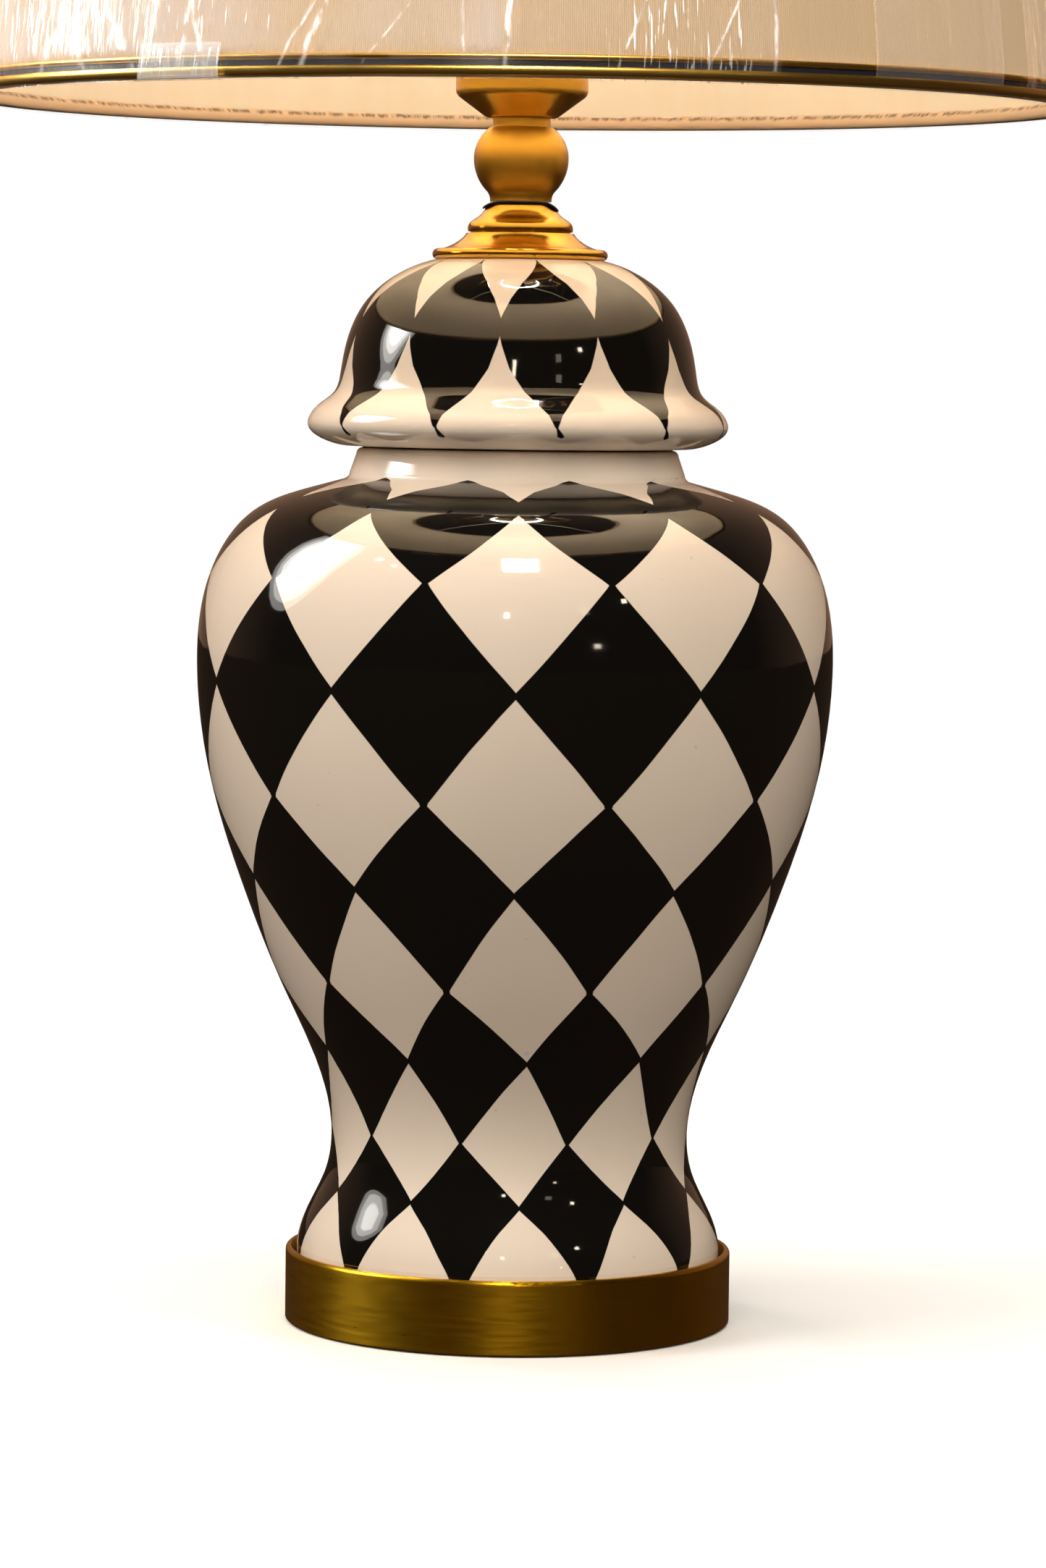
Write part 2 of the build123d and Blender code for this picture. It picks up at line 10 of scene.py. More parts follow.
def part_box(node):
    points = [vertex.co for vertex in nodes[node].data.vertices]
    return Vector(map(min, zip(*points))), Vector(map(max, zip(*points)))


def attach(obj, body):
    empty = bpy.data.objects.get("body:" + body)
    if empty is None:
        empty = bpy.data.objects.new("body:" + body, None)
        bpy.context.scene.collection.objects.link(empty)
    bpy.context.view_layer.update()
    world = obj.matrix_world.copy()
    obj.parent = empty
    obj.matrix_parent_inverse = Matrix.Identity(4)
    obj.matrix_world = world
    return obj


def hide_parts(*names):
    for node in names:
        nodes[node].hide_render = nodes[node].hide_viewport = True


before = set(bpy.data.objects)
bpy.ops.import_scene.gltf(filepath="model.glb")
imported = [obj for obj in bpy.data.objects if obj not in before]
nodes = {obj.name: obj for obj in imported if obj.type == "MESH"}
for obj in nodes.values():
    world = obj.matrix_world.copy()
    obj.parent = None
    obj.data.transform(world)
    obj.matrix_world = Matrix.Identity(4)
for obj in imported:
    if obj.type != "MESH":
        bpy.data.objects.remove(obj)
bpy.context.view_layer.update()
MM = 0.001


# ---------------------------------------------------------------- node helpers
class Shader:
    """A material and short ways to add nodes to it."""

    def __init__(self, name):
        self.material = bpy.data.materials.new(name)
        self.material.use_nodes = True
        self.tree = self.material.node_tree
        self.bsdf = self.tree.nodes["Principled BSDF"]
        self.output = self.tree.nodes["Material Output"]

    def add(self, kind, inputs=(), **settings):
        """A node of this kind, with its settings, and inputs given as {socket: value or another socket}."""
        node = self.tree.nodes.new(kind)
        for key, value in settings.items():
            setattr(node, key, value)
        for key, value in dict(inputs).items():
            self.put(node.inputs[key], value)
        return node

    def put(self, socket, value):
        """Link an output to a socket, or set the socket's own value."""
        if isinstance(value, bpy.types.NodeSocket):
            self.tree.links.new(value, socket)
        else:
            socket.default_value = value

    def set(self, **values):
        """Set or link inputs of the Principled shader: base_color becomes Base Color."""
        for key, value in values.items():
            words = " ".join(w if w == "IOR" else w.capitalize() for w in key.split("_"))
            self.put(self.bsdf.inputs[words], value)

    def math(self, operation, a, b=0.0, c=0.0, clamp=False):
        """The result of a Math node."""
        node = self.add("ShaderNodeMath", operation=operation, use_clamp=clamp)
        for socket, value in zip(node.inputs, (a, b, c)):
            self.put(socket, value)
        return node.outputs[0]

    def place(self):
        """(x, y, z) of the surface in the lamp's frame, as the point and as three numbers."""
        point = self.add("ShaderNodeTexCoord").outputs["Object"]
        split = self.add("ShaderNodeSeparateXYZ", {0: point})
        return point, split.outputs[0], split.outputs[1], split.outputs[2]

    def turn(self):
        """Angle about the Z axis in radians: 0 at the front, growing towards +X."""
        _, x, y, _ = self.place()
        return self.math("ARCTAN2", x, self.math("MULTIPLY", y, -1))

    def vector(self, x, y, z):
        """A vector made of three numbers or sockets."""
        return self.add("ShaderNodeCombineXYZ", {0: x, 1: y, 2: z}).outputs[0]

    def noise(self, vector, scale, detail=2.0, roughness=0.5, distortion=0.0):
        """A noise value from 0 to 1."""
        values = {
            "Vector": vector, "Scale": scale, "Detail": detail,
            "Roughness": roughness, "Distortion": distortion,
        }
        return self.add("ShaderNodeTexNoise", values).outputs[0]

    def ramp(self, factor, stops):
        """A straight ramp through (position, value) stops."""
        node = self.add("ShaderNodeValToRGB", {0: factor})
        ramp = node.color_ramp
        while len(ramp.elements) < len(stops):
            ramp.elements.new(0.5)
        for element, (position, value) in zip(ramp.elements, stops):
            element.position = position
            element.color = (value, value, value, 1)
        return node.outputs[0]

    def curve(self, height, stops):
        """A value that runs straight between (height in mm, value from 0 to 1) stops."""
        low, high = stops[0][0], stops[-1][0]
        share = self.add(
            "ShaderNodeMapRange",
            {"Value": height, "From Min": low * MM, "From Max": high * MM},
        ).outputs[0]
        return self.ramp(share, [((h - low) / (high - low), v) for h, v in stops])

    def grey(self, value):
        """A colour with three equal parts."""
        return self.add("ShaderNodeCombineColor", {0: value, 1: value, 2: value}).outputs[0]

    def mix(self, factor, a, b):
        """Two colours mixed."""
        node = self.add("ShaderNodeMix", data_type="RGBA")
        for socket, value in ((node.inputs[0], factor), (node.inputs[6], a), (node.inputs[7], b)):
            if isinstance(value, tuple) and len(value) == 3:
                value = (*value, 1)
            self.put(socket, value)
        return node.outputs[2]

    def bump(self, height, distance, strength=1.0, normal=None):
        """A normal bumped by a height, at a distance in mm."""
        values = {"Height": height, "Distance": distance * MM, "Strength": strength}
        if normal is not None:
            values["Normal"] = normal
        return self.add("ShaderNodeBump", values).outputs[0]


def paint(material, *names):
    """Give CAD nodes a material."""
    for name in names:
        mesh = nodes[name].data
        mesh.materials.clear()
        mesh.materials.append(material)


# ---------------------------------------------------------------- glaze
WHITE = (0.78, 0.67, 0.55)
BLACK = (0.0035, 0.0035, 0.003)


def glaze(name, find_black):
    """Glossy white glaze with hand-painted black cells. find_black(shader) is 0 on white and 1 on black."""
    s = Shader(name)
    point, _, _, _ = s.place()
    black = find_black(s)
    cloud = s.noise(point, 14, 3, 0.6)
    white = s.mix(s.math("MULTIPLY", cloud, 0.55), WHITE, (0.70, 0.57, 0.44))
    specks = s.math("GREATER_THAN", s.noise(point, 260, 1), 0.80)
    white = s.mix(s.math("MULTIPLY", specks, 0.25), white, (0.35, 0.25, 0.16))
    s.set(base_color=s.mix(black, white, BLACK), IOR=1.75)
    s.set(roughness=s.math("MULTIPLY_ADD", s.noise(point, 90, 2), 0.05, 0.025))
    orange_peel = s.noise(point, 75, 1)
    painted = s.bump(black, 0.03, 0.6)
    s.set(normal=s.bump(orange_peel, 0.06, 0.35, painted))
    return s.material


def unsteady(s, value, amount, scale, seed):
    """A value moved a little by slow noise, as a brush wanders."""
    point, _, _, _ = s.place()
    shifted = s.add("ShaderNodeVectorMath", {0: point, 1: (seed, 0, 0)}, operation="ADD").outputs[0]
    wander = s.math("SUBTRACT", s.noise(shifted, scale, 2), 0.5)
    return s.math("MULTIPLY_ADD", wander, amount, value)


def cells(s, phase, count, half_width, soften):
    """1 inside lozenges that repeat count times around, and 0 outside.

    half_width is their half width as a share of half the pitch, and soften sharpens the edge as it grows.
    """
    pitch = tau / count
    turned = s.math("DIVIDE", phase, pitch)
    away = s.math("ABSOLUTE", s.math("SUBTRACT", turned, s.math("ROUND", turned)))
    reach = s.math("SUBTRACT", half_width, s.math("MULTIPLY", away, 2))
    return s.math("MULTIPLY_ADD", reach, soften, 0.5, clamp=True)


JAR_REPEATS = 11
JAR_STRETCH = 1.8       # degrees that the cells spread from the front towards the sides
# height in mm, and the white cells' width as a share of the pitch
JAR_ROWS = (
    (16, 0.98), (24, 0.92), (28, 0.845), (32, 0.745), (36, 0.635), (40, 0.51), (43, 0.40), (47, 0.215),
    (51.4, 0), (72.9, 1), (102.8, 0), (129.2, 1), (164.7, 0), (196.3, 1), (234.6, 0), (272.2, 1), (296.2, 0),
    (299.4, 0), (300.8, 0.10), (303.0, 0.28), (304.6, 0.56), (305.8, 0.82), (306.8, 0.95), (307.6, 1.2),
)
# height in mm, and how far the cells wander round, in degrees
JAR_DRIFT = (
    (30.4, 4.2), (51.4, 3.2), (72.9, 1.5), (102.8, 4.7), (129.2, 1.8), (164.7, 0.5), (234.6, 0.3),
    (296.2, 0.5),
)
DRIFT_SCALE = 10.0      # degrees that a full ramp value stands for
JAR_NECK = 307.6        # height in mm where the white neck starts
NECK_FADE = 0.6         # height in mm over which it does
JAR_LINE = 0.032        # how much narrower the white cells are than their rows say


def jar_black(s):
    """Black cells of the jar."""
    _, _, _, z = s.place()
    height = unsteady(s, z, 0.0022, 22, 3.1)
    angle = unsteady(s, s.turn(), 0.016, 24, 7.7)
    drift = s.curve(z, [(h, d / DRIFT_SCALE) for h, d in JAR_DRIFT])
    angle = s.math("SUBTRACT", angle, s.math("MULTIPLY", drift, radians(DRIFT_SCALE)))
    angle = s.math("MULTIPLY_ADD", s.math("SINE", angle), radians(-JAR_STRETCH), angle)
    width = s.math("SUBTRACT", s.curve(height, JAR_ROWS), JAR_LINE)
    white = cells(s, angle, JAR_REPEATS, width, 90)
    neck = s.math("MULTIPLY_ADD", z, 1 / (NECK_FADE * MM), -JAR_NECK / NECK_FADE, clamp=True)
    return s.math("SUBTRACT", 1, s.math("MAXIMUM", white, neck))


LID_REPEATS = 11
LID_PHASE = 10.3        # degrees from the front to the middle of a black cell
# height in mm, and the black cells' width as a share of the pitch
LID_ROWS = (
    (321.9, 0), (322.6, 0.07), (324.0, 0.05), (325.4, 0.03), (330, 0.12), (334, 0.30), (338.1, 0.50),
    (346.3, 0.78), (354.5, 0.94), (358.8, 1), (362.8, 1), (366, 0.93), (371, 0.80), (376.5, 0.56),
    (380.7, 0.26), (383.8, 0.05), (385, 0),
)
HOOK_TOP = 326          # height in mm below which the teeth's tips hook sideways
HOOK_LEAN = 1.2         # degrees that a tip hooks
HOOK_FALL = 3           # over this height in mm
HOOK_MOST = 1.5         # and never more than this, in degrees


def lid_black(s):
    """Black lozenges of the lid."""
    _, _, _, z = s.place()
    height = unsteady(s, z, 0.0016, 30, 1.3)
    angle = unsteady(s, s.turn(), 0.03, 20, 5.9)
    lean = radians(HOOK_LEAN)
    hook = s.math("MULTIPLY_ADD", z, -lean / (HOOK_FALL * MM), lean * HOOK_TOP / HOOK_FALL)
    hook = s.math("MINIMUM", s.math("MAXIMUM", hook, 0), radians(HOOK_MOST))
    angle = s.math("SUBTRACT", angle, s.math("ADD", hook, radians(LID_PHASE)))
    width = s.math("MULTIPLY_ADD", s.curve(height, LID_ROWS), 1.03, -0.01)
    return cells(s, angle, LID_REPEATS, width, 60)


# ---------------------------------------------------------------- metals
def brushed(name, colour, roughness, grain=1.0, dark=0.45):
    """Lathe-brushed metal: fine rings about the Z axis, with a darker patina in places."""
    s = Shader(name)
    point, _, _, z = s.place()
    angle = s.turn()
    rings = s.noise(s.vector(s.math("MULTIPLY", angle, 0.6), s.math("MULTIPLY", z, 2200), 0), grain, 3, 0.7)
    arcs = s.noise(s.vector(s.math("MULTIPLY", angle, 5), s.math("MULTIPLY", z, 700), 3), 1.0, 2)
    patina = s.noise(point, 28, 4, 0.6)
    shade = s.math("MULTIPLY_ADD", patina, 1.6, -0.45, clamp=True)
    deep = tuple(c * dark for c in colour)
    base = s.mix(s.math("MULTIPLY", shade, 0.55), colour, deep)
    base = s.mix(s.math("MULTIPLY", rings, 0.22), base, deep)
    s.set(base_color=base, metallic=1.0, anisotropic=0.8, anisotropic_rotation=0.25)
    s.set(roughness=s.math("MULTIPLY_ADD", arcs, 0.16, roughness - 0.08))
    s.set(normal=s.bump(rings, 0.02, 0.5))
    tangent = s.add("ShaderNodeTangent", direction_type="RADIAL", axis="Z").outputs[0]
    s.set(tangent=tangent)
    return s.material


def plated(name, colour, roughness, metallic=1.0, grime=0.35, scale=60):
    """Polished or plated metal with faint handling marks."""
    s = Shader(name)
    point, _, _, _ = s.place()
    marks = s.noise(point, scale, 4, 0.65)
    s.set(base_color=s.mix(s.math("MULTIPLY", marks, grime), colour, tuple(c * 0.5 for c in colour)))
    s.set(metallic=metallic, roughness=s.math("MULTIPLY_ADD", marks, 0.15, roughness - 0.05))
    s.set(normal=s.bump(s.noise(point, 900, 2), 0.01, 0.3))
    return s.material


def moulded(name, colour, roughness, scale=700, depth=0.02):
    """Plastic, rubber or paint with a fine moulded grain."""
    s = Shader(name)
    point, _, _, _ = s.place()
    cloud = s.noise(point, 35, 3)
    s.set(base_color=s.mix(s.math("MULTIPLY", cloud, 0.4), colour, tuple(c * 0.7 for c in colour)))
    s.set(roughness=s.math("MULTIPLY_ADD", cloud, 0.12, roughness - 0.06))
    s.set(normal=s.bump(s.noise(point, scale, 2), depth, 0.4))
    return s.material


# ---------------------------------------------------------------- fabrics
RIB_PITCH = 0.68        # mm


def ribbed_fabric(name, colour, radius):
    """Fabric with fine upright ribs, about RIB_PITCH mm apart at the radius given in mm."""
    s = Shader(name)
    point, _, _, z = s.place()
    angle = s.turn()
    count = round(tau * radius / RIB_PITCH)
    wave = s.math("MULTIPLY_ADD", s.math("SINE", s.math("MULTIPLY", angle, count)), 0.5, 0.5)
    slub = s.noise(s.vector(s.math("MULTIPLY", angle, 260), s.math("MULTIPLY", z, 22), 0), 1.0, 3, 0.6)
    weft = s.noise(s.vector(s.math("MULTIPLY", angle, 40), s.math("MULTIPLY", z, 1400), 5), 1.0, 2)
    cloud = s.noise(point, 9, 3)
    # the ribs' grooves are painted darker and their crests lighter with the wave that bumps them: painted
    # shade; the slubs are random tone
    tone = s.math("MULTIPLY_ADD", slub, 0.30, s.math("MULTIPLY", wave, 0.38))
    base = s.mix(tone, tuple(c * 0.62 for c in colour), tuple(min(1, c * 1.12) for c in colour))
    base = s.mix(s.math("MULTIPLY", cloud, 0.35), base, tuple(c * 0.86 for c in colour))
    s.set(base_color=base, roughness=0.78, sheen_weight=0.25, sheen_roughness=0.4)
    ribs = s.bump(wave, 0.14, 0.7)
    s.set(normal=s.bump(weft, 0.05, 0.3, ribs))
    return s.material


def lining_cloth(name, colour):
    """Smooth laminated lining with a faint weave and soft puckers."""
    s = Shader(name)
    point, _, _, z = s.place()
    angle = s.turn()
    pucker = s.noise(s.vector(s.math("MULTIPLY", angle, 7), s.math("MULTIPLY", z, 9), 2), 1.0, 3)
    thread = s.noise(s.vector(s.math("MULTIPLY", angle, 900), s.math("MULTIPLY", z, 1800), 0), 1.0, 1)
    # darker, warmer upright bands at random places round the lining
    upright_bands = s.noise(s.vector(s.math("MULTIPLY", angle, 16), 0, 6), 1.0, 2)
    upright_bands = s.math("MULTIPLY_ADD", upright_bands, 3, -1.2, clamp=True)
    tone = s.math("MULTIPLY_ADD", upright_bands, 0.22, s.math("MULTIPLY", pucker, 0.4))
    base = s.mix(tone, colour, tuple(c * f for c, f in zip(colour, (0.93, 0.84, 0.72))))
    s.set(base_color=base, roughness=0.62, sheen_weight=0.15)
    s.set(normal=s.bump(thread, 0.03, 0.4, s.bump(pucker, 1.2, 0.25)))
    return s.material


def hem_cloth(name, colour, edge):
    """The turned hem: cloth with a glued, frayed line near its free edge at a height of edge, in metres."""
    s = Shader(name)
    point, _, _, z = s.place()
    angle = s.turn()
    wander = s.noise(s.vector(s.math("MULTIPLY", angle, 60), 0, 4), 1.0, 4)
    middle = s.math("MULTIPLY_ADD", wander, 2.4 * MM, edge - 2.2 * MM)
    line = s.math("ABSOLUTE", s.math("SUBTRACT", z, middle))
    near = s.math("SUBTRACT", 1.2, s.math("DIVIDE", line, 0.9 * MM), clamp=True)
    gaps = s.noise(s.vector(s.math("MULTIPLY", angle, 44), 0, 9), 1.0, 4, 0.75)
    broken = s.math("MULTIPLY_ADD", gaps, 9, -3.8, clamp=True)
    glue = s.math("MULTIPLY", near, broken)
    cloud = s.noise(point, 60, 3)
    base = s.mix(s.math("MULTIPLY", cloud, 0.5), colour, tuple(c * 0.8 for c in colour))
    base = s.mix(s.math("MULTIPLY", glue, 0.95), base, (0.10, 0.055, 0.02))
    s.set(base_color=base, roughness=0.8, sheen_weight=0.2)
    weave = s.noise(s.vector(s.math("MULTIPLY", angle, 1200), s.math("MULTIPLY", z, 2600), 0), 1.0, 1)
    s.set(normal=s.bump(weave, 0.06, 0.5, s.bump(cloud, 0.5, 0.5)))
    return s.material


FILM_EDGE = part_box("shade_panel")[0][2]
# painted glare streaks along creases: degrees round from the front, half width in degrees, lean in degrees
# per cm, height in mm, strength
CREASE_GLARE = (
    (-1.7, 0.55, 0.25, 70, 1.0), (-5.5, 0.5, 0.0, 26, 0.6), (-21.5, 0.7, 1.2, 60, 1.0),
    (-24.0, 0.45, 1.8, 46, 0.8), (-31.0, 0.6, -0.8, 70, 0.9), (-34.5, 0.9, 0.5, 80, 1.0),
    (-40.0, 1.6, -1.4, 30, 1.0), (-46.0, 3.2, -2.0, 26, 1.0), (-55.0, 2.2, 2.5, 40, 0.9),
    (-16.0, 0.35, 2.4, 34, 0.6), (8.5, 0.3, 1.2, 90, 0.7), (24.2, 0.45, 0.0, 240, 0.7),
    (17.0, 0.35, 1.4, 60, 0.7), (-72.0, 1.6, 1.0, 110, 0.6), (-98.0, 1.2, -1.0, 90, 0.6),
    (-125.0, 1.0, 1.2, 130, 0.6), (-150.0, 1.4, -0.8, 100, 0.6), (165.0, 1.1, 1.0, 120, 0.6),
    (132.0, 1.2, -1.2, 80, 0.6), (96.0, 0.9, 1.0, 110, 0.5), (74.0, 0.8, -1.0, 60, 0.5),
)
# painted glints: share of the way round from the back, and how many
GLINT_CLUSTERS = (
    (0.0, 0.4), (0.12, 0.5), (0.30, 0.5), (0.40, 0.75), (0.47, 0.2), (0.515, 0.3), (0.525, 0.8), (0.56, 0.75),
    (0.575, 0.0), (0.66, 0.0), (0.72, 0.4), (1.0, 0.4),
)
# milky haze, partly painted glare: share of the way round from the back, and how milky
MIST_AND_GLARE = (
    (0.0, 0.12), (0.30, 0.18), (0.36, 0.42), (0.40, 0.28), (0.44, 0.10), (0.475, 0.14), (0.493, 0.30),
    (0.497, 0.05),
    (0.57, 0.06), (0.66, 0.03), (0.75, 0.10), (1.0, 0.12),
)

FAINT = 0.3             # how much of the painted glare shows where the film lies on the trim
TRIM_CLEAR = 7          # height in mm above the edge where the painted glare starts to show in full
TRIM_FADE = 3           # over this height in mm
GLARE = 0.5             # how bright the film is where it is seen edge on


def clear_film(name, haze=0.0):
    """Clear film: seen through nearly everywhere, with white glare streaks and glints painted along its
    creases. haze makes it milky.
    """
    s = Shader(name)
    point, _, _, z = s.place()
    angle = s.turn()
    around = s.math("MULTIPLY", angle, 180 / pi)
    ripple = s.noise(s.vector(s.math("MULTIPLY", angle, 3), s.math("MULTIPLY", z, 55), 6), 1.0, 3)
    # crease: painted glare, white streaks along the creases where lights would glint; they also strengthen
    # the gloss
    crease = 0.0
    for centre, width, lean, top, strength in CREASE_GLARE:
        line = s.math("MULTIPLY_ADD", ripple, 1.6 * width ** 0.5, centre - 0.8 * width ** 0.5)
        line = s.math("MULTIPLY_ADD", s.math("SUBTRACT", z, FILM_EDGE), lean / (10 * MM), line)
        side = s.math("MULTIPLY", s.math("ABSOLUTE", s.math("SUBTRACT", around, line)), 1.5 / width)
        reach = s.math("MULTIPLY_ADD", s.math("SUBTRACT", z, FILM_EDGE), -1 / (8 * MM), top / 8, clamp=True)
        glare_stroke = s.math("SUBTRACT", strength, s.math("MULTIPLY", side, strength), clamp=True)
        glare_stroke = s.math("MULTIPLY", glare_stroke, reach)
        crease = s.math("MAXIMUM", crease, glare_stroke)
    uneven = s.noise(s.vector(s.math("MULTIPLY", angle, 60), s.math("MULTIPLY", z, 120), 2), 1.0, 3)
    crease = s.math("MULTIPLY", crease, s.math("MULTIPLY_ADD", uneven, 5, -1.9, clamp=True))
    # painted glints: small white flecks in clusters round the film
    glint_noise = s.noise(s.vector(s.math("MULTIPLY", angle, 170), s.math("MULTIPLY", z, 60), 8), 1.0, 2, 0.5, 0.6)
    glint_share = s.ramp(s.math("MULTIPLY_ADD", around, 1 / 360, 0.5), GLINT_CLUSTERS)
    painted_glint = s.math("SUBTRACT", s.math("MULTIPLY_ADD", glint_share, 0.35, glint_noise), 0.86)
    painted_glint = s.math("MULTIPLY_ADD", painted_glint, 14, 0, clamp=True)
    crease = s.math("MAXIMUM", crease, painted_glint)
    rise = 1 - FAINT
    above = s.math(
        "MULTIPLY_ADD", z, rise / (TRIM_FADE * MM),
        FAINT - rise * (FILM_EDGE / MM + TRIM_CLEAR) / TRIM_FADE, clamp=True,
    )
    above = s.math("MAXIMUM", above, FAINT)
    crease = s.math("MULTIPLY", crease, above)
    slanted = s.math("MULTIPLY", s.math("MULTIPLY_ADD", z, 1.6, angle), 12)
    folds = s.noise(s.vector(slanted, s.math("MULTIPLY", z, 9), 0), 1.0, 3)
    fine = s.noise(s.vector(s.math("MULTIPLY", angle, 70), s.math("MULTIPLY", z, 40), 4), 1.0, 2)
    facing = s.add("ShaderNodeLayerWeight", {"Blend": 0.5}).outputs["Facing"]
    shine = s.math("MULTIPLY", s.math("POWER", facing, 2), GLARE)
    # the gloss is stronger along the painted glare
    shine = s.math("ADD", s.math("MULTIPLY_ADD", crease, 0.5, 0.01), shine, clamp=True)
    normal = s.bump(s.math("MULTIPLY_ADD", fine, 0.25, folds), 4.0, 0.6)
    gloss = s.add("ShaderNodeBsdfGlossy", {"Color": s.grey(shine), "Roughness": 0.15, "Normal": normal})
    # milky haze round the film, partly painted glare on the left and beside the front streak
    mist_and_glare = s.ramp(s.math("MULTIPLY_ADD", around, 1 / 360, 0.5), MIST_AND_GLARE)
    patches = s.math("MULTIPLY_ADD", s.noise(point, 30, 2), 1.4, -0.1, clamp=True)
    mist_and_glare = s.math("MULTIPLY", s.math("MULTIPLY", mist_and_glare, above), patches)
    # the painted glare is mixed in as white
    milk_and_glare = s.math("MAXIMUM", s.math("ADD", mist_and_glare, haze), s.math("MULTIPLY", crease, 0.85), clamp=True)
    clear = s.add("ShaderNodeBsdfTransparent", {"Color": (0.985, 0.985, 0.985, 1)})
    white = s.add("ShaderNodeBsdfDiffuse", {"Color": (0.93, 0.93, 0.94, 1)})
    body = s.add("ShaderNodeMixShader", {0: milk_and_glare, 1: clear.outputs[0], 2: white.outputs[0]})
    both = s.add("ShaderNodeAddShader", {0: body.outputs[0], 1: gloss.outputs[0]})
    s.put(s.output.inputs["Surface"], both.outputs[0])
    s.tree.nodes.remove(s.bsdf)
    return s.material


GLOW = 54.0


def glowing_globe(name):
    """Frosted globe lit from inside."""
    s = Shader(name)
    point, _, _, _ = s.place()
    frost = s.noise(point, 400, 2)
    s.set(base_color=(1.0, 0.94, 0.84, 1), roughness=0.35)
    s.set(emission_color=(1.0, 0.87, 0.68, 1), emission_strength=GLOW)
    s.set(normal=s.bump(frost, 0.02, 0.3))
    return s.material


# ---------------------------------------------------------------- meshes
def revolved(name, outline, around, shape=None):
    """A closed skin turned about the Z axis from a closed outline of (radius, height) points in metres.

    shape(radius, height, angle) may move each point, and returns its new radius and height.
    """
    points = []
    for i in range(around):
        angle = tau * i / around
        for radius, height in outline:
            if shape:
                radius, height = shape(radius, height, angle)
            points.append((radius * sin(angle), -radius * cos(angle), height))
    rows = len(outline)
    faces = []
    for i in range(around):
        j = (i + 1) % around
        for k in range(rows):
            m = (k + 1) % rows
            faces.append((i * rows + k, j * rows + k, j * rows + m, i * rows + m))
    mesh = bpy.data.meshes.new(name)
    mesh.from_pydata(points, [], faces)
    mesh.update()
    piece = bpy.data.objects.new(name, mesh)
    bpy.context.scene.collection.objects.link(piece)
    for face in mesh.polygons:
        face.use_smooth = True
    return piece


def along(start, end, count):
    """count + 1 points from start to end."""
    return [tuple(a + (b - a) * i / count for a, b in zip(start, end)) for i in range(count + 1)]


def finish_piece(piece, body, slot, material, *replaced):
    """Put a piece on its body, with its material, in place of CAD nodes. slot is not used."""
    piece.data.materials.append(material)
    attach(piece, body)
    if replaced:
        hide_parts(*replaced)
    return piece


# ---------------------------------------------------------------- camera
CAMERA_DISTANCE = 1.9732
CAMERA_HEIGHT = 0.3478
CAMERA_PITCH = 4.402
CAMERA_YAW = 0.1007
CAMERA_ROLL = 0.7265
FOCAL_SHARE = 7536 / 2166     # focal length as a share of the frame's long side

camera_data = bpy.data.cameras.new("camera")
camera_data.sensor_width = 36
camera_data.lens = 36 * FOCAL_SHARE
camera_data.clip_end = 50
camera = bpy.data.objects.new("camera", camera_data)
bpy.context.scene.collection.objects.link(camera)
camera.matrix_world = (
    Matrix.Translation((0, -CAMERA_DISTANCE, CAMERA_HEIGHT))
    @ Matrix.Rotation(radians(-CAMERA_YAW), 4, "Z")
    @ Matrix.Rotation(radians(90 - CAMERA_PITCH), 4, "X")
    @ Matrix.Rotation(radians(CAMERA_ROLL), 4, "Z")
)
bpy.context.scene.camera = camera


# ---------------------------------------------------------------- stage and light
ROOM = (0.075, 0.042, 0.026)
FLOOR_HALF = 6.0


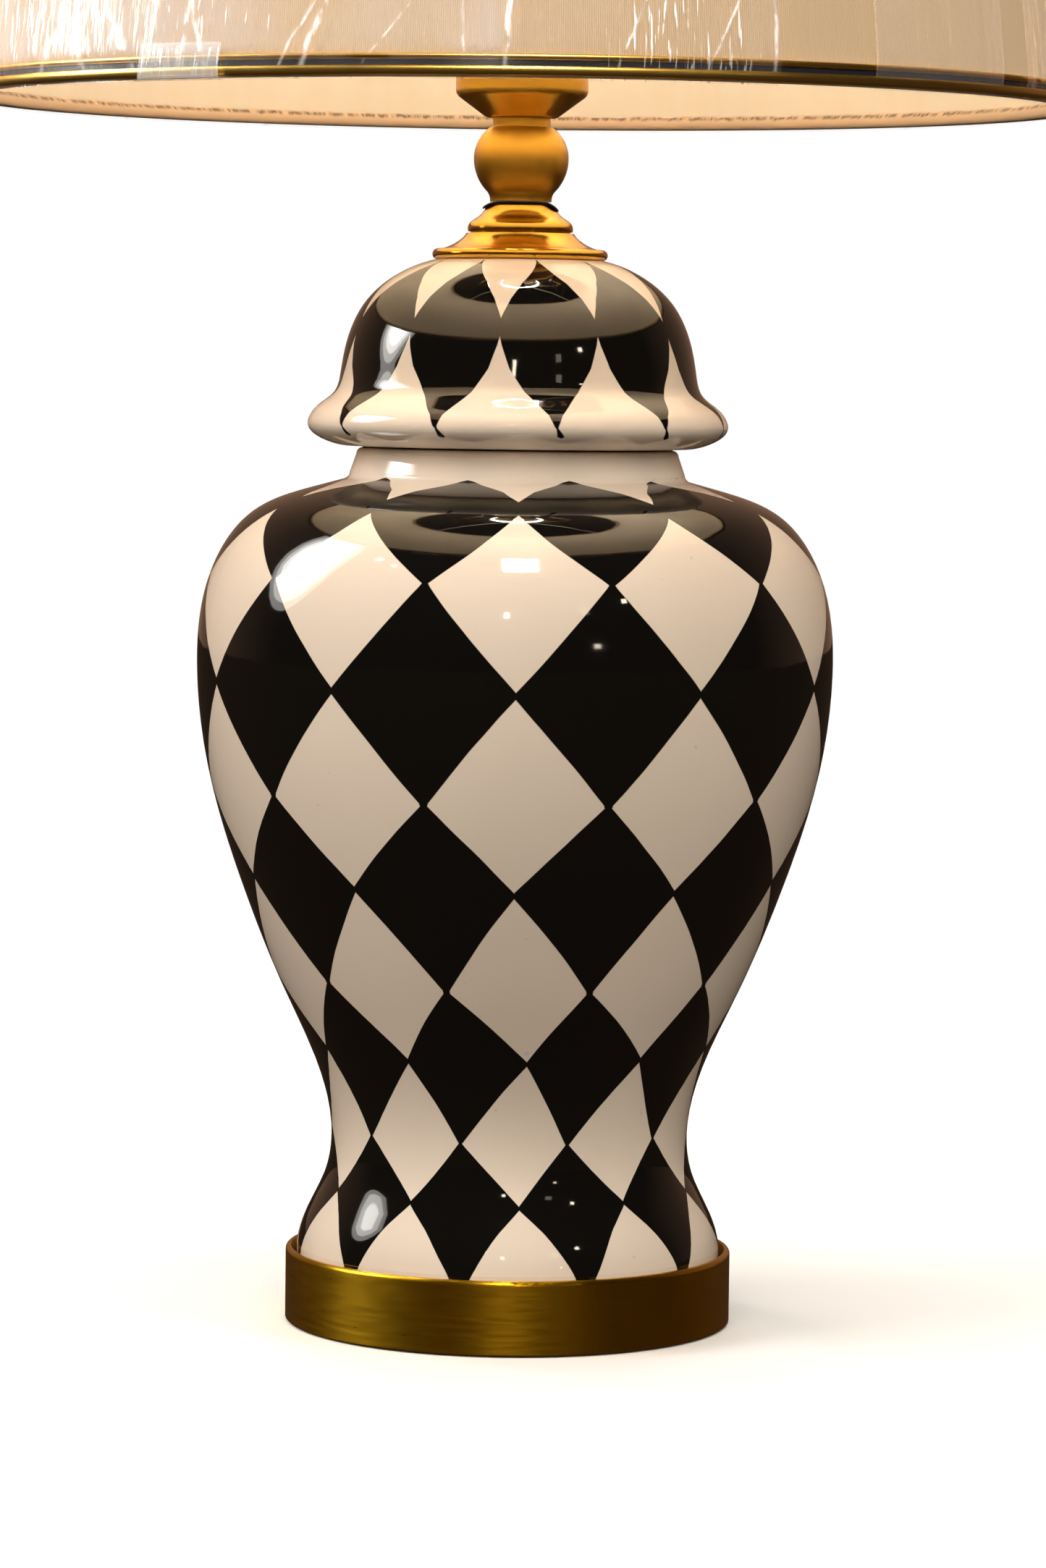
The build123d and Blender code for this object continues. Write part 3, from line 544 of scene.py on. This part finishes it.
def stage():
    """A plain pale floor that fades into a white backdrop.

    Only the camera sees them white. Gloss sees a dim brown room, brighter behind the lamp, and matte surfaces
    see a dim brown floor under a soft warm sky.
    """
    mesh = bpy.data.meshes.new("floor")
    corners = [(-1, -1), (1, -1), (1, 1), (-1, 1)]
    mesh.from_pydata([(x * FLOOR_HALF, y * FLOOR_HALF, 0) for x, y in corners], [], [(0, 1, 2, 3)])
    floor = bpy.data.objects.new("floor", mesh)
    bpy.context.scene.collection.objects.link(floor)
    s = Shader("floor")
    point, _, _, _ = s.place()
    length = s.add("ShaderNodeVectorMath", {0: point}, operation="LENGTH").outputs["Value"]
    reach = {"Value": length, "From Min": 0.35, "From Max": 1.3}
    far = s.add("ShaderNodeMapRange", reach, interpolation_type="SMOOTHSTEP")
    s.set(base_color=s.mix(s.noise(point, 2, 2), (0.90, 0.895, 0.885), (0.87, 0.865, 0.855)), roughness=0.9)
    s.set(specular_IOR_level=0.0)
    in_view = s.add("ShaderNodeLightPath").outputs["Is Camera Ray"]
    white = s.add("ShaderNodeEmission", {"Color": (1, 1, 1, 1), "Strength": 1.0})
    dim = s.add("ShaderNodeEmission", {"Color": (*ROOM, 1), "Strength": 0.5})
    fade = s.add("ShaderNodeMixShader", {0: far.outputs[0], 1: s.bsdf.outputs[0], 2: white.outputs[0]})
    seen = s.add("ShaderNodeMixShader", {0: in_view, 1: dim.outputs[0], 2: fade.outputs[0]})
    s.put(s.output.inputs["Surface"], seen.outputs[0])
    mesh.materials.append(s.material)

    world = bpy.data.worlds.new("world")
    bpy.context.scene.world = world
    world.use_nodes = True
    tree = world.node_tree
    sky = tree.nodes["Background"]
    path = tree.nodes.new("ShaderNodeLightPath")

    def backdrop(colour, strength):
        """A plain background."""
        background = tree.nodes.new("ShaderNodeBackground")
        background.inputs[0].default_value = (*colour, 1)
        background.inputs[1].default_value = strength
        return background.outputs[0]

    def blend(share, first, second):
        """Two backgrounds mixed."""
        mixer = tree.nodes.new("ShaderNodeMixShader")
        for socket, value in zip(mixer.inputs, (share, first, second)):
            tree.links.new(value, socket)
        return mixer.outputs[0]

    sky.inputs[0].default_value = (1.0, 0.90, 0.78, 1)
    sky.inputs[1].default_value = 0.42
    wall = tree.nodes.new("ShaderNodeSeparateXYZ")
    tree.links.new(tree.nodes.new("ShaderNodeTexCoord").outputs["Generated"], wall.inputs[0])
    depth = tree.nodes.new("ShaderNodeMapRange")
    tree.links.new(wall.outputs[1], depth.inputs["Value"])
    depth.inputs["From Min"].default_value = 0.1
    room = blend(depth.outputs[0], backdrop(ROOM, 0.3), backdrop(ROOM, 3.6))
    glossy = blend(path.outputs["Is Glossy Ray"], sky.outputs[0], room)
    camera_view = blend(path.outputs["Is Camera Ray"], glossy, backdrop((1, 1, 1), 1.0))
    tree.links.new(camera_view, tree.nodes["World Output"].inputs[0])


def softbox(name, azimuth, elevation, distance, width, height, power, colour, glossy=True, diffuse=True):
    """An area light that faces the lamp's middle. Azimuth 0 is in front, and 90 at +X."""
    data = bpy.data.lights.new(name, "AREA")
    data.shape = "ELLIPSE" if name.startswith("window") else "RECTANGLE"
    data.size = width
    data.size_y = height
    data.energy = power
    data.color = colour
    light = bpy.data.objects.new(name, data)
    bpy.context.scene.collection.objects.link(light)
    a = radians(azimuth)
    e = radians(elevation)
    aim = Vector((0, 0, 0.35))
    light.location = aim + distance * Vector((sin(a) * cos(e), -cos(a) * cos(e), sin(e)))
    light.rotation_euler = (aim - light.location).to_track_quat("-Z", "Y").to_euler()
    light.visible_glossy = glossy
    light.visible_diffuse = diffuse


WINDOW_LAYERS = 5       # ellipses on each other, which soften the window's edge
WINDOW_POWER = 33
WINDOW_WIDTH = 0.36     # of the smallest ellipse
WINDOW_GROWTH = 0.5     # from there to the largest
WINDOW_TALL = 1.75      # height as a share of the width
# azimuth, elevation, width, height, power
GLINTS = (
    (2, 50, 0.46, 0.42, 44), (-3, 18, 0.08, 0.12, 0.5), (29, 4, 0.07, 0.07, 0.15), (26, 20, 0.16, 0.16, 0.12),
    (42, 24, 0.10, 0.10, 0.5), (-66, 44, 0.07, 0.07, 0.8), (-56, 42, 0.05, 0.05, 0.5),
)


def lights():
    """A tall window and a few lamps that only gloss picks up, and soft light that gloss doesn't pick up."""
    warm = (1.0, 0.84, 0.66)
    soft = (1.0, 0.95, 0.89)
    pale = (1.0, 0.96, 0.91)
    for i in range(WINDOW_LAYERS):
        share = i / (WINDOW_LAYERS - 1)
        width = WINDOW_WIDTH + WINDOW_GROWTH * share
        power = WINDOW_POWER / WINDOW_LAYERS
        place = (-95, 32, 1.7 + 0.01 * i)
        softbox(f"window_{i}", *place, width, width * WINDOW_TALL, power, pale, diffuse=False)
    softbox("left_rim", -128, 18, 2.2, 0.8, 1.2, 13, (1.0, 0.90, 0.84), glossy=False)
    softbox("key", -70, 30, 2.2, 1.2, 1.0, 30, (1.0, 0.95, 0.92), glossy=False)
    softbox("front_fill", 0, 24, 3.0, 2.4, 1.8, 52, soft, glossy=False)
    softbox("right_fill", 62, 32, 2.8, 1.2, 1.2, 20, soft, glossy=False)
    softbox("top", 0, 84, 2.6, 2.2, 2.2, 30, soft, glossy=False)
    softbox("back", 175, 35, 2.6, 1.6, 1.0, 18, soft, glossy=False)
    for i, (azimuth, elevation, width, height, power) in enumerate(GLINTS):
        softbox(f"lamp_{i}", azimuth, elevation, 2.4, width, height, power, warm, diffuse=False)


# ---------------------------------------------------------------- shade
COVER_DEPTH = 1.2       # mm from the shade's outer surface to the cover's inner face
LINING_DEPTH = 1.6      # mm from the shade's outer surface to the lining's inner face
SWELL = 0.28            # mm that the cloth swells in and out


def shade_sizes():
    """Heights and radii of the shade's outer surface, from the CAD nodes."""
    low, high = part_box("shade_panel")
    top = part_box("hem_high")[1]
    return low[2], high[2], high[0], top[0]


def shade_pieces():
    """The shade's cloth cover, its lining, its two hems and the clear film."""
    bottom, top, wide, narrow = shade_sizes()

    def cone(height):
        """The outer radius at a height."""
        return wide + (narrow - wide) * (height - bottom) / (top - bottom)

    def skin(name, outer, inner, low, high, steps, around, shape):
        """A thin closed cone between two offsets from the outer radius."""
        up = [(cone(h) + outer, h) for h, in along((low,), (high,), steps)]
        down = [(cone(h) + inner, h) for h, in along((high,), (low,), steps)]
        return revolved(name, up + down, around, shape)

    def cover_shape(radius, height, angle):
        """Slow swells, and a glued seam at the back."""
        swell = noise.noise(Vector((sin(angle) * 2.2, cos(angle) * 2.2, height * 9)))
        seam = max(0.0, 1 - abs((angle - pi) * wide / (4.5 * MM)) ** 6) * 0.35 * MM
        return radius + SWELL * MM * swell + (seam if radius > cone(height) - 0.6 * MM else 0), height

    def lining_shape(radius, height, angle):
        """The cover's swells, and puckers on the free face."""
        swell = noise.noise(Vector((sin(angle) * 2.2, cos(angle) * 2.2, height * 9)))
        pucker = noise.noise(Vector((sin(angle) * 9, cos(angle) * 9, height * 14 + 5)))
        free = radius < cone(height) - 1.5 * MM
        return radius + SWELL * MM * swell - (0.25 * MM * (pucker + 0.6) if free else 0), height

    cover = skin("shade_cover", 0, -COVER_DEPTH * MM, bottom, top, 40, 360, cover_shape)
    cloth = ribbed_fabric("ribbed_fabric", (0.74, 0.53, 0.31), 190)
    finish_piece(cover, "shade", "shade_fabric", cloth, "shade_panel")
    front = -COVER_DEPTH * MM
    back = -LINING_DEPTH * MM
    lining = skin("shade_inner_lining", front, back, bottom, top, 40, 360, lining_shape)
    cloth = lining_cloth("lining_cloth", (0.95, 0.86, 0.72))
    finish_piece(lining, "shade", "shade_lining", cloth, "shade_lining")

    for name, node, edge, inward in (("low", "hem_low", bottom, 1), ("high", "hem_high", top, -1)):
        hem(name, node, edge, inward, cone)
    film(cone, bottom, top)


HEM_WIRE = 3.6          # thickness in mm of the ring that the hem is folded round
HEM_CLOTH = 0.4         # mm


def hem(name, node, edge, inward, cone):
    """The hem folded round one wire ring: a soft L of cloth with an uneven glued edge."""
    low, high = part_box(node)
    inside = cone(edge) - LINING_DEPTH * MM - HEM_WIRE * MM - HEM_CLOTH * MM
    tall = abs((high[2] if inward > 0 else low[2]) - edge)
    thick = HEM_CLOTH * MM
    outline = [(cone(edge), edge - inward * thick)]
    outline += [(inside + 1.2 * MM, edge - inward * thick), (inside + 0.3 * MM, edge - inward * 0.5 * thick)]
    outline += [(inside, edge + inward * 1.0 * MM), (inside + 0.1 * MM, edge + inward * 3.0 * MM)]
    outline += [(inside + 1.6 * MM, edge + inward * 0.9 * tall), (inside + 2.9 * MM, edge + inward * tall)]
    outline += [(inside + 3.1 * MM, edge + inward * 0.95 * tall)]
    outline += [(inside + 1.9 * MM, edge + inward * 0.8 * tall)]
    outline += [(inside + 0.6 * MM, edge + inward * 2.9 * MM), (inside + 0.5 * MM, edge + inward * 1.0 * MM)]
    outline += [(inside + 1.2 * MM, edge), (cone(edge), edge)]

    def shape(radius, height, angle):
        """An uneven free edge."""
        lift = abs(height - edge) / tall
        wave = noise.noise(Vector((sin(angle) * 26, cos(angle) * 26, 3)))
        ripple = noise.noise(Vector((sin(angle) * 60, cos(angle) * 60, 7)))
        return radius - 0.25 * MM * lift * ripple, height - inward * 0.9 * MM * lift * lift * max(0.0, wave)

    piece = revolved(f"shade_hem_{name}", outline if inward > 0 else outline[::-1], 480, shape)
    cloth = hem_cloth(f"hem_cloth_{name}", (0.58, 0.40, 0.25), edge + inward * tall)
    finish_piece(piece, "shade", "hem_fabric", cloth, node)


# name, from and to in degrees round from the front, gap in mm, milkiness
FILM_STRIPS = (
    ("main", -301.5, 24.8, 2.35, 0.0),
    ("patch", 35.4, 53.9, 2.45, 0.02),
    ("tape", -38.8, -29.3, 2.9, 0.14),
)


FILM_ROWS = 110
FILM_THICK = 0.06       # mm
FILM_BELOW = 1.2        # mm that the film reaches below the shade's edge
TAPE_TALL = 11          # mm


def film(cone, bottom, top):
    """Clear film round the shade in strips, with upright folds and creases, drawn in at its lower edge."""
    for name, start, end, gap, haze in FILM_STRIPS:
        across = max(8, round((end - start) * 3))
        high = bottom + TAPE_TALL * MM if name == "tape" else top
        points = []
        for i in range(across + 1):
            angle = radians(start + (end - start) * i / across)
            for k in range(FILM_ROWS + 1):
                share = k / FILM_ROWS
                height = bottom - FILM_BELOW * MM + (high - bottom + FILM_BELOW * MM) * share
                fold = noise.noise(Vector((sin(angle) * 11, cos(angle) * 11, height * 4)))
                crease = noise.noise(Vector((sin(angle) * 34, cos(angle) * 34, height * 16 + 9)))
                away = 0.9 * MM * (1 - abs(fold) * 2.2) + 0.5 * MM * (1 - abs(crease) * 2)
                away *= 0.35 + 0.65 * sin(pi * min(1.0, share * 1.1 + 0.05))
                tuck = max(0.0, 1 - k / 5) ** 2 * 3.2 * MM
                radius = cone(max(height, bottom)) + gap * MM + away - tuck
                points.append((radius * sin(angle), -radius * cos(angle), height))
        rows = FILM_ROWS + 1
        faces = [
            (i * rows + k, (i + 1) * rows + k, (i + 1) * rows + k + 1, i * rows + k + 1)
            for i in range(across) for k in range(FILM_ROWS)
        ]
        mesh = bpy.data.meshes.new(f"film_{name}")
        mesh.from_pydata(points, [], faces)
        mesh.update()
        for face in mesh.polygons:
            face.use_smooth = True
        piece = bpy.data.objects.new(f"shade_film_{name}", mesh)
        bpy.context.scene.collection.objects.link(piece)
        thick = piece.modifiers.new("thickness", "SOLIDIFY")
        thick.thickness = FILM_THICK * MM
        replaced = ("shade_film",) if name == "main" else ()
        finish_piece(piece, "shade", "film", clear_film(f"clear_film_{name}", haze), *replaced)
        span = radians(end - start)
        width = span * (cone(bottom) + gap * MM)
        length = ((high - bottom) ** 2 + (cone(bottom) - cone(high)) ** 2) ** 0.5
        area = span * (cone(bottom) + cone(high)) / 2 * length


# ---------------------------------------------------------------- neck washer
WASHER_PROUD = 0.9      # mm that the washer stands out past its CAD node
WASHER_THICK = 0.9      # mm
WASHER_HOLE = 5.2       # radius in mm
WASHER_FLAT = 8         # mm from the axis to where it starts to bend
WASHER_EDGE = 0.3       # mm, rounding of the rim


def neck_washer():
    """The thin black washer under the neck, bent down at its sides."""
    _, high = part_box("neck_washer")
    outer = high[0] + WASHER_PROUD * MM
    inner = WASHER_HOLE * MM
    thick = WASHER_THICK * MM
    edge = WASHER_EDGE * MM
    flat_top = high[2]

    def bend(radius, height, angle):
        """The sides bent down, the right one a little more than the left one."""
        across = radius * sin(angle)
        reach = max(0.0, abs(across) - WASHER_FLAT * MM) / (outer - WASHER_FLAT * MM)
        return radius, height - (2.8 if across > 0 else 2.0) * MM * reach ** 1.8

    steps = 12
    upper = along((inner, flat_top), (outer - edge, flat_top), steps)
    lower = along((outer - edge, flat_top - thick), (inner, flat_top - thick), steps)
    rim = [(outer, flat_top - edge), (outer, flat_top - thick + edge)]
    piece = revolved("curved_neck_washer", (upper + rim + lower)[::-1], 128, bend)
    rubber = moulded("washer_rubber", (0.012, 0.011, 0.010), 0.45)
    finish_piece(piece, "base", "black_rubber", rubber, "neck_washer")


# ---------------------------------------------------------------- materials of the CAD nodes
def dress_frame():
    """Give the CAD nodes their materials."""
    antique = (0.94, 0.53, 0.075)
    paint(glaze("jar_glaze", jar_black), "jar_body")
    paint(glaze("lid_glaze", lid_black), "jar_lid")
    paint(brushed("ring_brass", (0.90, 0.52, 0.02), 0.31), "base_ring")
    paint(brushed("neck_brass", antique, 0.36), "ball_neck", "socket_cup")
    paint(brushed("cap_brass", antique, 0.19), "vase_cap", "step_cap")
    paint(brushed("finial_brass", antique, 0.34), "finial")
    paint(
        plated("bright_brass", (0.62, 0.40, 0.13), 0.22),
        "harp", "harp_stud", "harp_sleeve_left", "harp_sleeve_right", "harp_saddle", "lampholder_cap",
        "lampholder_shell", "terminal_screws", "centre_contact", "switch_shaft", "finial_insert",
    )
    paint(plated("trim_gold", (0.90, 0.60, 0.14), 0.30, grime=0.25), "trim_beads_low", "trim_beads_high")
    paint(plated("trim_dark", (0.022, 0.024, 0.032), 0.22, metallic=0.3), "trim_band_low", "trim_band_high")
    zinc = plated("zinc", (0.52, 0.52, 0.53), 0.35)
    paint(zinc, "base_cover", "rod_washer", "rod_nut", "centre_rod", "cup_nut")
    paint(plated("cap_metal", (0.66, 0.66, 0.67), 0.3), "screw_shell", "bulb_cap", "bulb_contact")
    rubber = moulded("black_rubber", (0.018, 0.018, 0.018), 0.6)
    paint(rubber, "cord_grommet", "jar_seat_pad", "lid_gasket", "neck_washer")
    phenolic = moulded("phenolic", (0.028, 0.022, 0.018), 0.35)
    paint(phenolic, "lampholder_insulator", "switch_knob", "bulb_insulator")
    paint(moulded("felt", (0.022, 0.022, 0.022), 0.95, 1600, 0.3), "felt_pad")
    paint(moulded("liner_board", (0.42, 0.30, 0.18), 0.8), "shell_liner")
    paint(moulded("insulation", (0.50, 0.36, 0.10), 0.3), "inner_wires")
    paint(moulded("collar_plastic", (0.86, 0.84, 0.80), 0.3), "bulb_collar")
    paint(moulded("board_white", (0.88, 0.87, 0.82), 0.5), "led_board")
    paint(
        moulded("white_wire", (0.80, 0.77, 0.70), 0.35),
        "spider_arms", "spider_washer", "shade_low_ring", "shade_high_ring",
    )
    paint(glowing_globe("frosted_globe"), "bulb_globe")


stage()
lights()
dress_frame()
shade_pieces()
neck_washer()
bpy.context.scene.view_settings.view_transform = "Standard"
